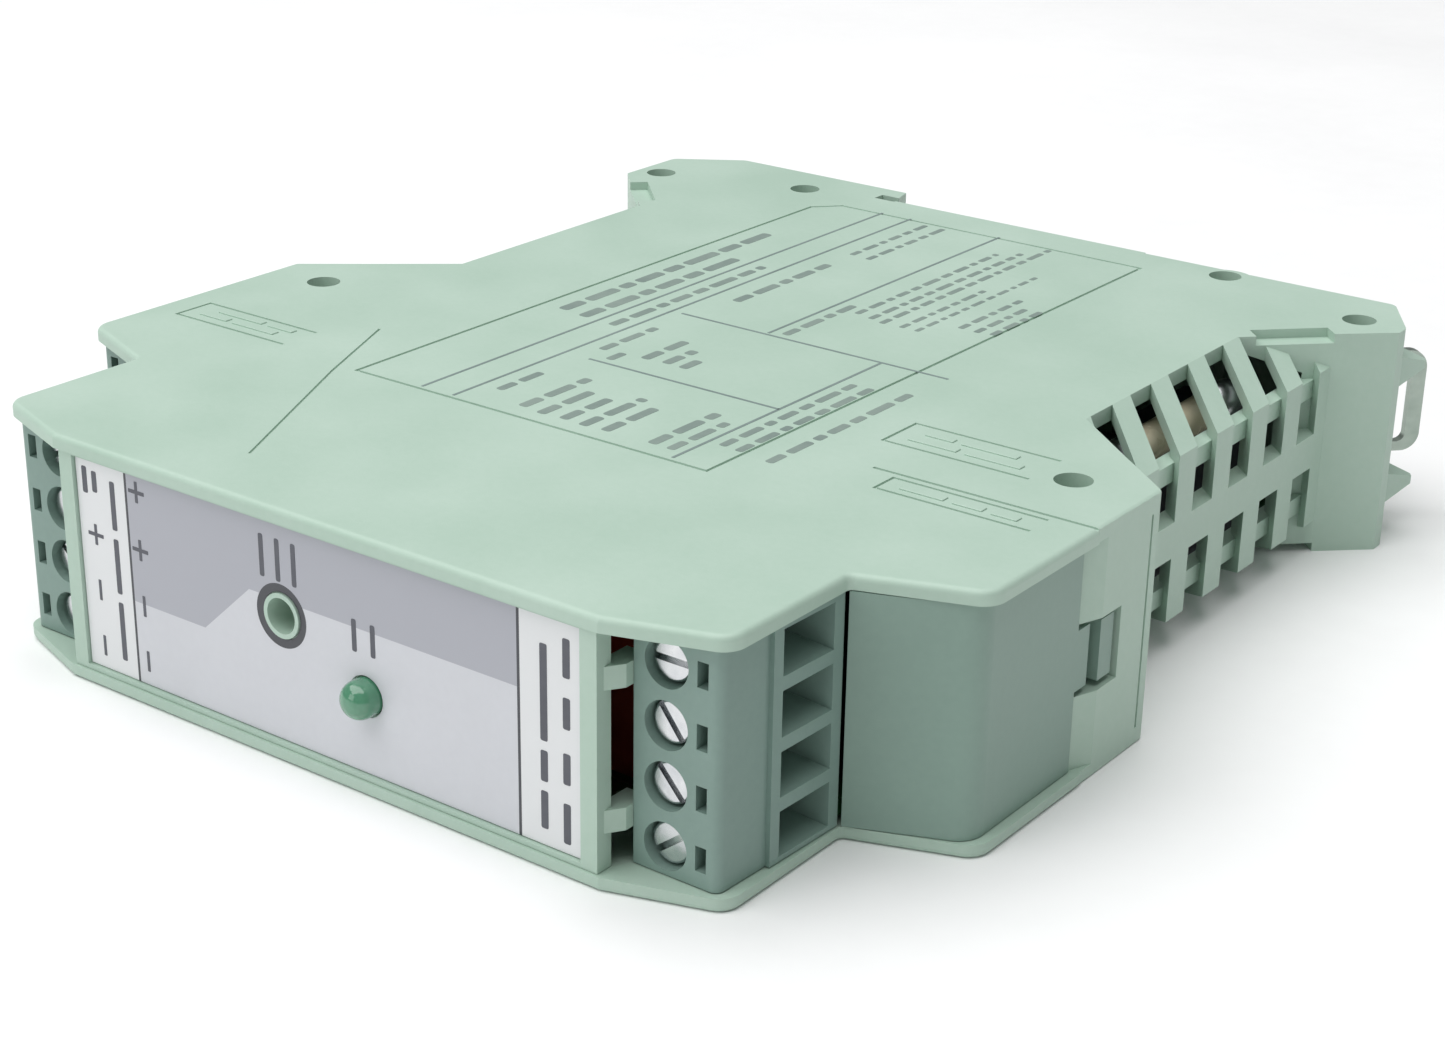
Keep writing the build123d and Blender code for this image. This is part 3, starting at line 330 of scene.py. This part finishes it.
def light_guide(name, light, dark, through):
    """Clear coloured plastic that passes part of its light."""
    material = finish(name, light=light, dark=dark, roughness=0.12, grain_mm=0.8,
                      grain_depth_mm=0.002, drift_mm=1.5, wander=0.03, ior=1.58)
    shader = material.node_tree.nodes["Principled BSDF"]
    shader.inputs["Transmission Weight"].default_value = through
    shader.inputs["Coat Weight"].default_value = DOME_COAT
    shader.inputs["Coat Roughness"].default_value = DOME_COAT_ROUGHNESS
    return material


LENS_PASSES = 0.25
green_lens = light_guide("polycarbonate light guide green", "#62A582", "#569976", LENS_PASSES)
wear(green_lens, ["led_lens", "indicator_led"])
print("light guide:", green_lens.name)


# %% [markdown]
# The front label is a printed polyester film. Two white strips stand at its ends, each closed
# off by a thin dark rule. Between them a grey blue field lies over a light grey one, and the
# line between the two climbs once, near the trimmer. A dark ring is printed round the trimmer's
# hole. All of it is flat ink, so it is drawn in the film's own colour rather than as geometry:
# each edge is a comparison on the Object coordinates, in metres.

# %% Printed label film
RULE_X = 21.4
RULE_HALF = 0.14
STEP_LOW = 9.3
STEP_RISE = 5.0
STEP_START = -12.7
STEP_RUN = 5.5
RING_CENTRE = (-3.6, 12.95)
RING_MIDDLE = 2.38
RING_HALF = 0.4


def label_film():
    """Satin polyester film with its printed fields, rules and ring."""
    material = finish("printed polyester label film", light="#CFD1D6", dark="#C9CBD0",
                      roughness=0.36, grain_mm=0.3, grain_depth_mm=0.003, ior=1.57)
    tree = material.node_tree
    shader = tree.nodes["Principled BSDF"]
    film = shader.inputs["Base Color"].links[0].from_socket
    place = add_node(tree, "ShaderNodeTexCoord")
    axes = add_node(tree, "ShaderNodeSeparateXYZ", {"Vector": place.outputs["Object"]})
    step = add_node(tree, "ShaderNodeMapRange",
                    {"Value": axes.outputs["X"], "From Min": STEP_START * MM,
                     "From Max": (STEP_START + STEP_RUN) * MM, "To Min": STEP_LOW * MM,
                     "To Max": (STEP_LOW + STEP_RISE) * MM})
    above = add_node(tree, "ShaderNodeMath", {0: axes.outputs["Z"], 1: step.outputs["Result"]},
                     operation="GREATER_THAN")
    upper = add_node(tree, "ShaderNodeMix", {"Factor": above.outputs[0]}, data_type="RGBA")
    tree.links.new(film, upper.inputs["A"])
    upper.inputs["B"].default_value = linear("#A9ABB3")
    aside = add_node(tree, "ShaderNodeMath", {0: axes.outputs["X"]}, operation="ABSOLUTE")
    ends = add_node(tree, "ShaderNodeMath", {0: aside.outputs[0], 1: RULE_X * MM},
                    operation="GREATER_THAN")
    white = add_node(tree, "ShaderNodeMix", {"Factor": ends.outputs[0],
                                             "A": upper.outputs["Result"]}, data_type="RGBA")
    white.inputs["B"].default_value = linear("#DFE1E2")
    rule = add_node(tree, "ShaderNodeMath", {0: aside.outputs[0], 1: RULE_X * MM,
                                             2: RULE_HALF * MM}, operation="COMPARE")
    centred = add_node(tree, "ShaderNodeMapping",
                       {"Vector": place.outputs["Object"],
                        "Location": (-RING_CENTRE[0] * MM, 0, -RING_CENTRE[1] * MM),
                        "Scale": (1, 0, 1)})
    radius = add_node(tree, "ShaderNodeVectorMath", {"Vector": centred.outputs["Vector"]},
                      operation="LENGTH")
    ring = add_node(tree, "ShaderNodeMath", {0: radius.outputs["Value"], 1: RING_MIDDLE * MM,
                                             2: RING_HALF * MM}, operation="COMPARE")
    ink = add_node(tree, "ShaderNodeMath", {0: rule.outputs[0], 1: ring.outputs[0]},
                   operation="MAXIMUM")
    inked = add_node(tree, "ShaderNodeMix", {"Factor": ink.outputs[0],
                                             "A": white.outputs["Result"]}, data_type="RGBA")
    inked.inputs["B"].default_value = linear("#3A3C42")
    tree.links.new(inked.outputs["Result"], shader.inputs["Base Color"])
    return material


wear(label_film(), ["front_label"])
print("label rules at x = +-", RULE_X, "mm")


# %% [markdown]
# New pieces are built in a bmesh and written into an object that sits at the origin. This
# helper merges doubled points, recalculates the normals, and hands the object to its CAD body,
# so that it would move with that body. A second helper makes the bevelled bars.

# %% From bmesh to a riding piece
def make_piece(name, bm, body, materials, smooth=False):
    """Writes a bmesh into an object that rides on a body and wears a slot's finish."""
    bmesh.ops.remove_doubles(bm, verts=bm.verts, dist=1e-7)
    bmesh.ops.recalc_face_normals(bm, faces=bm.faces)
    mesh = bpy.data.meshes.new(name)
    bm.to_mesh(mesh)
    bm.free()
    for material in materials:
        mesh.materials.append(material)
    for polygon in mesh.polygons:
        polygon.use_smooth = smooth
    piece = bpy.data.objects.new(name, mesh)
    bpy.context.scene.collection.objects.link(piece)
    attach(piece, body)
    print(name, "faces:", len(mesh.polygons))
    return piece


def add_bar(bm, low, high, round_mm, segments=2):
    """A bar between two corners, with its edges bevelled."""
    centre = (low + high) / 2
    size = high - low
    made = bmesh.ops.create_cube(bm, size=1.0, matrix=Matrix.Translation(centre)
                                 @ Matrix.Diagonal((*size, 1)))
    edges = {edge for vert in made["verts"] for edge in vert.link_edges}
    bmesh.ops.bevel(bm, geom=list(edges), offset=round_mm * MM, segments=segments,
                    affect="EDGES", profile=0.5, material=-1, clamp_overlap=True)


print("piece helpers ready")


# %% [markdown]
# The upper plate carries a printed table: a few long ruled lines, two cross rules, and rows of
# small print. The rows say nothing here. Each is a line of plain bars, as long as the words of
# a data plate, so the panel keeps its texture without any lettering. Pad printing lays down
# ink about 0.02 mm thick, so each bar is a thin slab whose upright edges are rounded. A drawing
# in the material would do as well, but slabs give crisp ends at any distance.

# %% Printed table on the upper plate
INK_THICK = 0.02
INK_GAP = 0.7
RULE_WIDE = 0.3
RULE_CORNER = 0.05
WORD_CORNER_SHARE = 0.3
CAPITAL_SHARE = 0.72
TYPICAL_HEIGHT = 1.4
SHORTEST_WORD = 0.6
WORDS = (3.6, 5.2, 2.2, 4.4, 3.0, 6.0)
LONG_RULES = ((-13.8, 28.3, 102.0), (-10.1, 28.3, 102.0), (1.1, 60.0, 102.0), (14.2, 28.4, 59.4))
CROSS_RULES = ((59.6, -8.9, 21.4), (43.5, -7.2, 14.2))
PRINT_ROWS = (
    (-18.6, 53.3, 88.2, 1.7), (-15.7, 52.8, 78.8, 1.7), (-11.9, 52.5, 77.2, 1.3),
    (-8.0, 32.0, 37.8, 1.2), (-3.6, 30.0, 39.2, 1.4), (-1.2, 29.6, 37.4, 1.4),
    (1.2, 29.8, 36.2, 1.4), (3.5, 29.6, 38.2, 1.4), (5.8, 29.8, 37.5, 1.4),
    (10.8, 29.9, 40.0, 1.4), (12.8, 29.8, 37.9, 1.2), (-8.0, 46.3, 54.7, 1.2),
    (-5.7, 44.5, 47.5, 1.2), (-3.3, 46.7, 53.0, 1.4), (-1.0, 46.9, 51.4, 1.4),
    (1.0, 46.8, 49.7, 1.4), (-7.2, 66.0, 82.5, 1.4), (-7.4, 86.5, 100.8, 0.9),
    (-5.2, 86.2, 100.8, 0.9), (2.6, 60.6, 73.3, 1.2), (4.2, 70.3, 96.4, 0.9),
    (6.1, 69.8, 98.2, 0.9), (7.7, 69.3, 101.2, 0.9), (9.9, 69.4, 84.6, 0.8),
    (11.6, 69.4, 91.8, 0.7), (14.4, 72.8, 84.3, 0.9), (16.2, 72.7, 82.6, 0.9),
    (17.8, 73.0, 82.1, 0.9), (15.7, 33.2, 53.0, 1.1), (17.5, 33.0, 53.4, 1.1),
    (21.0, 32.5, 54.6, 1.2))


def add_ink(bm, low, high, thin, corner_mm):
    """A slab of ink. The edges that run through its thickness are rounded."""
    centre = (low + high) / 2
    made = bmesh.ops.create_cube(bm, size=1.0, matrix=Matrix.Translation(centre)
                                 @ Matrix.Diagonal((*(high - low), 1)))
    edges = {edge for vert in made["verts"] for edge in vert.link_edges}
    through = [edge for edge in edges
               if abs((edge.verts[0].co - edge.verts[1].co)[thin]) > 1e-6]
    bmesh.ops.bevel(bm, geom=through, offset=corner_mm * MM, segments=3, affect="EDGES",
                    profile=0.5, material=-1, clamp_overlap=True)


def add_print_row(bm, x, start, end, height, z):
    """A row of print: bars as long as words, with gaps between them."""
    along = start
    step = 0
    while along < end - SHORTEST_WORD:
        word = min(WORDS[step % len(WORDS)] * height / TYPICAL_HEIGHT, end - along)
        add_ink(bm, at(x - height / 2, along, z),
                at(x + height / 2, along + word, z + INK_THICK), 2, height * WORD_CORNER_SHARE)
        along += word + INK_GAP
        step += 1


panel_ink = finish("grey pad printing ink", light="#7F8F8C", dark="#72827F", roughness=0.5,
                   grain_mm=0.3, grain_depth_mm=0.004, drift_mm=6.0)
row_ink = finish("thin grey pad printing ink", light="#87978F", dark="#798A84", roughness=0.5,
                 grain_mm=0.3, grain_depth_mm=0.004, drift_mm=6.0)
ink_rules = bmesh.new()
for x, start, end in LONG_RULES:
    add_ink(ink_rules, at(x - RULE_WIDE / 2, start, THICKNESS),
            at(x + RULE_WIDE / 2, end, THICKNESS + INK_THICK), 2, RULE_CORNER)
for depth, start, end in CROSS_RULES:
    add_ink(ink_rules, at(start, depth - RULE_WIDE / 2, THICKNESS),
            at(end, depth + RULE_WIDE / 2, THICKNESS + INK_THICK), 2, RULE_CORNER)
make_piece("panel_rules", ink_rules, "housing", [panel_ink])
ink_rows = bmesh.new()
for x, start, end, height in PRINT_ROWS:
    add_print_row(ink_rows, x, start, end, height * CAPITAL_SHARE, THICKNESS)
make_piece("panel_print_rows", ink_rows, "housing", [row_ink])


# %% [markdown]
# Three small fields on the same plate, beside the terminals, hold moulded lettering on the real
# thing. Raised bars of 0.12 mm stand for it. They are part of the moulding, so they take the
# housing's own plastic, and a small bevel on all their edges catches the light as the real
# relief does.

# %% Raised bars in the small fields
RELIEF = 0.12
RELIEF_SINK = 0.02
RELIEF_ROUND = 0.08
FIELD_BARS = ((-44.2, 30.0, -40.6, 30.9), (-39.8, 30.0, -34.4, 30.9),
              (-43.2, 31.5, -37.4, 32.3), (-36.6, 31.5, -33.4, 32.3),
              (27.0, 44.2, 31.8, 45.1), (32.6, 44.2, 38.0, 45.1),
              (27.6, 46.0, 30.4, 46.8), (31.2, 46.0, 36.6, 46.8),
              (32.6, 34.3, 36.8, 35.2), (37.6, 34.3, 40.4, 35.2), (41.2, 34.3, 43.6, 35.2))
relief = bmesh.new()
for x_low, near, x_high, far in FIELD_BARS:
    add_bar(relief, at(x_low, near, THICKNESS - RELIEF_SINK),
            at(x_high, far, THICKNESS + RELIEF), RELIEF_ROUND)
make_piece("field_relief_bars", relief, "housing", [housing_plastic])


# %% [markdown]
# The label's polarity marks are the one thing printed here that means something on any power
# supply: plus and minus beside the output terminals. A minus is one stroke and a plus is two
# that cross. The minus runs along z, which is level when the unit hangs on its rail with the
# label's length upright. Plain bars stand for the words. All are slabs of ink, made as on the
# upper plate, so their ends stay crisp.

# %% Marks printed on the front label
LABEL_FACE = 0.6
MARK_HALF = 0.95
STROKE_HALF = 0.17
WORD_CORNER = 0.16
PLUS_MARKS = ((-25.6, 14.2), (-20.1, 19.4), (-20.1, 14.2))
MINUS_MARKS = ((-25.6, 9.1), (-25.6, 3.9), (-20.1, 9.1), (-20.1, 4.0))
LABEL_BARS = ((-26.8, 17.8, -26.2, 20.2), (-25.6, 18.1, -25.0, 20.0), (-23.4, 3.2, -22.8, 8.6),
              (-23.4, 9.4, -22.8, 14.4), (-23.4, 15.2, -22.8, 19.6), (-5.8, 15.9, -5.3, 19.6),
              (-4.0, 15.9, -3.5, 19.6), (-2.2, 15.9, -1.7, 19.6), (4.2, 12.2, 4.7, 15.0),
              (6.2, 12.2, 6.7, 15.0), (23.5, 3.2, 24.2, 6.4), (23.5, 7.2, 24.2, 9.8),
              (23.5, 10.6, 24.2, 18.6), (25.7, 2.6, 26.4, 6.0), (25.7, 7.6, 26.4, 10.2),
              (25.7, 12.2, 26.4, 14.8), (25.7, 16.4, 26.4, 19.6))
label_ink = finish("dark grey screen printing ink", light="#5A5C64", dark="#4C4E56",
                   roughness=0.42, grain_mm=0.3, grain_depth_mm=0.003, drift_mm=5.0)


def add_label_ink(bm, x_low, z_low, x_high, z_high, corner_mm):
    """A slab of ink on the label's face."""
    add_ink(bm, at(x_low, LABEL_FACE - INK_THICK, z_low), at(x_high, LABEL_FACE, z_high), 1,
            corner_mm)


marks = bmesh.new()
for x, z in PLUS_MARKS + MINUS_MARKS:
    add_label_ink(marks, x - STROKE_HALF, z - MARK_HALF, x + STROKE_HALF, z + MARK_HALF,
                  RULE_CORNER)
for x, z in PLUS_MARKS:
    for side in (-1, 1):
        inner, outer = sorted((x + side * STROKE_HALF, x + side * MARK_HALF))
        add_label_ink(marks, inner, z - STROKE_HALF, outer, z + STROKE_HALF, RULE_CORNER)
make_piece("label_polarity_marks", marks, "housing", [label_ink])
words = bmesh.new()
for corners in LABEL_BARS:
    add_label_ink(words, *corners, WORD_CORNER)
make_piece("label_print_bars", words, "housing", [label_ink])


# %% [markdown]
# The ceramic fuse behind the right louvres has pressed brass caps, nickel plated, on both ends.
# A cap is a shallow cup of revolution, so its half section, drawn as five points, is spun once
# round the fuse's axis. The cap grips the tube, so it stands 0.15 mm proud of it.

# %% Fuse caps
CAP_LONG = 4.4
CAP_PROUD = 0.15
CAP_FACE = 0.2
CAP_CORNER = 0.3
CAP_SHOULDER = 0.1
CAP_LIP_SHARE = 0.98
fuse_low, fuse_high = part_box("ceramic_fuse")
fuse_radius = (fuse_high[0] - fuse_low[0]) / 2
fuse_centre = Vector(((fuse_low[0] + fuse_high[0]) / 2, 0, (fuse_low[2] + fuse_high[2]) / 2))
caps = bmesh.new()
for end, inward in ((fuse_low[1], 1), (fuse_high[1], -1)):
    outer = fuse_radius + CAP_PROUD * MM
    section = ((0, -CAP_FACE), (outer - CAP_CORNER * MM, -CAP_FACE), (outer, CAP_SHOULDER),
               (outer, CAP_LONG), (fuse_radius * CAP_LIP_SHARE, CAP_LONG))
    points = [caps.verts.new(fuse_centre + Vector((r, end + inward * along * MM, 0)))
              for r, along in section]
    edges = [caps.edges.new(pair) for pair in zip(points, points[1:])]
    bmesh.ops.spin(caps, geom=points + edges, cent=fuse_centre, axis=(0, 1, 0),
                   angle=math.tau, steps=36, use_merge=True)
make_piece("fuse_caps", caps, "housing", [cage_nickel], smooth=True)


# %% [markdown]
# An electrolytic capacitor's can closes in a plain aluminium lid with a scored cross, which
# opens if the part overheats. The lid is a low cone, so its rim slopes, and two crossed bars
# half sunk into it stand for the score's raised lips.

# %% Lids of the output capacitors
can_low, can_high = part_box("output_capacitors")
can_radius = (can_high[0] - can_low[0]) / 2
can_x = (can_low[0] + can_high[0]) / 2
LID_THICK = 0.16
LID_FOOT = 0.84
LID_TOP = 0.80
LID_LIFT = 0.06
SCORE_LONG = 1.2
SCORE_WIDE = 0.3
SCORE_HIGH = 0.08
SCORE_ROUND = 0.02
lids = bmesh.new()
for centre_y in (can_low[1] + can_radius, can_high[1] - can_radius):
    middle = Vector((can_x, centre_y, can_high[2] + LID_LIFT * MM))
    bmesh.ops.create_cone(lids, cap_ends=True, segments=48, radius1=can_radius * LID_FOOT,
                          radius2=can_radius * LID_TOP, depth=LID_THICK * MM,
                          matrix=Matrix.Translation(middle))
    for turn in (45, 135):
        stroke = bmesh.ops.create_cube(lids, size=1.0, matrix=Matrix.Translation(
            middle + Vector((0, 0, LID_THICK / 2 * MM)))
            @ Matrix.Rotation(math.radians(turn), 4, "Z")
            @ Matrix.Diagonal((can_radius * SCORE_LONG, SCORE_WIDE * MM, SCORE_HIGH * MM, 1)))
        edges = {edge for vert in stroke["verts"] for edge in vert.link_edges}
        bmesh.ops.bevel(lids, geom=list(edges), offset=SCORE_ROUND * MM, segments=1, affect="EDGES",
                        profile=0.5, material=-1)
make_piece("capacitor_lids", lids, "housing", [heat_sink_aluminium])


# %% [markdown]
# The latch's spring gets shorter as the latch is pulled out, while a CAD node can only move
# whole. So a copy of its coil, with a mesh of its own, takes its place, and the CAD node is
# hidden. Its loose triangles are merged first, so it shades smoothly. The latch travels 3.5 mm.

# %% Copy of the latch spring
spring_bm = bmesh.new()
spring_bm.from_mesh(nodes["latch_spring"].data)
spring = make_piece("latch_spring_coil", spring_bm, "housing", [spring_wire],
                    smooth=True)
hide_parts("latch_spring")
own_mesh(spring)


# %% [markdown]
# The object lies on a pale table under soft light: a broad lamp high on the left, a weaker one
# in front, and an even, dim sky. An area lamp many times wider than the object gives the soft
# shadow of a white sweep. The plain Standard view keeps white paper white. The floor is not
# part of the object.

# %% Floor and lights
FLOOR_HALF = 3.0
floor_bm = bmesh.new()
bmesh.ops.create_grid(floor_bm, x_segments=8, y_segments=8, size=FLOOR_HALF)
floor_mesh = bpy.data.meshes.new("floor")
floor_bm.to_mesh(floor_mesh)
floor_bm.free()
floor = bpy.data.objects.new("floor", floor_mesh)
bpy.context.scene.collection.objects.link(floor)
floor_mesh.materials.append(finish("white matt card", light="#FBFBFB", dark="#F6F6F6",
                                   roughness=0.7, grain_mm=1.5, grain_depth_mm=0.004,
                                   drift_mm=60.0))


def add_lamp(name, place, size, power):
    """A square area lamp aimed at the middle of the object, size in metres, power in watts."""
    data = bpy.data.lights.new(name, "AREA")
    data.size = size
    data.energy = power
    lamp = bpy.data.objects.new(name, data)
    lamp.location = place
    aim = Vector((0, 0, 0.01)) - Vector(place)
    lamp.rotation_euler = aim.to_track_quat("-Z", "Y").to_euler()
    bpy.context.scene.collection.objects.link(lamp)


add_lamp("window", (-0.18, -0.15, 1.00), 1.4, 15.5)
add_lamp("front_fill", (-0.25, -0.9, 0.35), 0.5, 1.2)
sky = bpy.data.worlds.new("sky")
sky.use_nodes = True
sky.node_tree.nodes["Background"].inputs["Color"].default_value = linear("#F6F8FA")
sky.node_tree.nodes["Background"].inputs["Strength"].default_value = 0.25
bpy.context.scene.world = sky
bpy.context.scene.view_settings.view_transform = "Standard"
print("lamps:", len(bpy.data.lights))
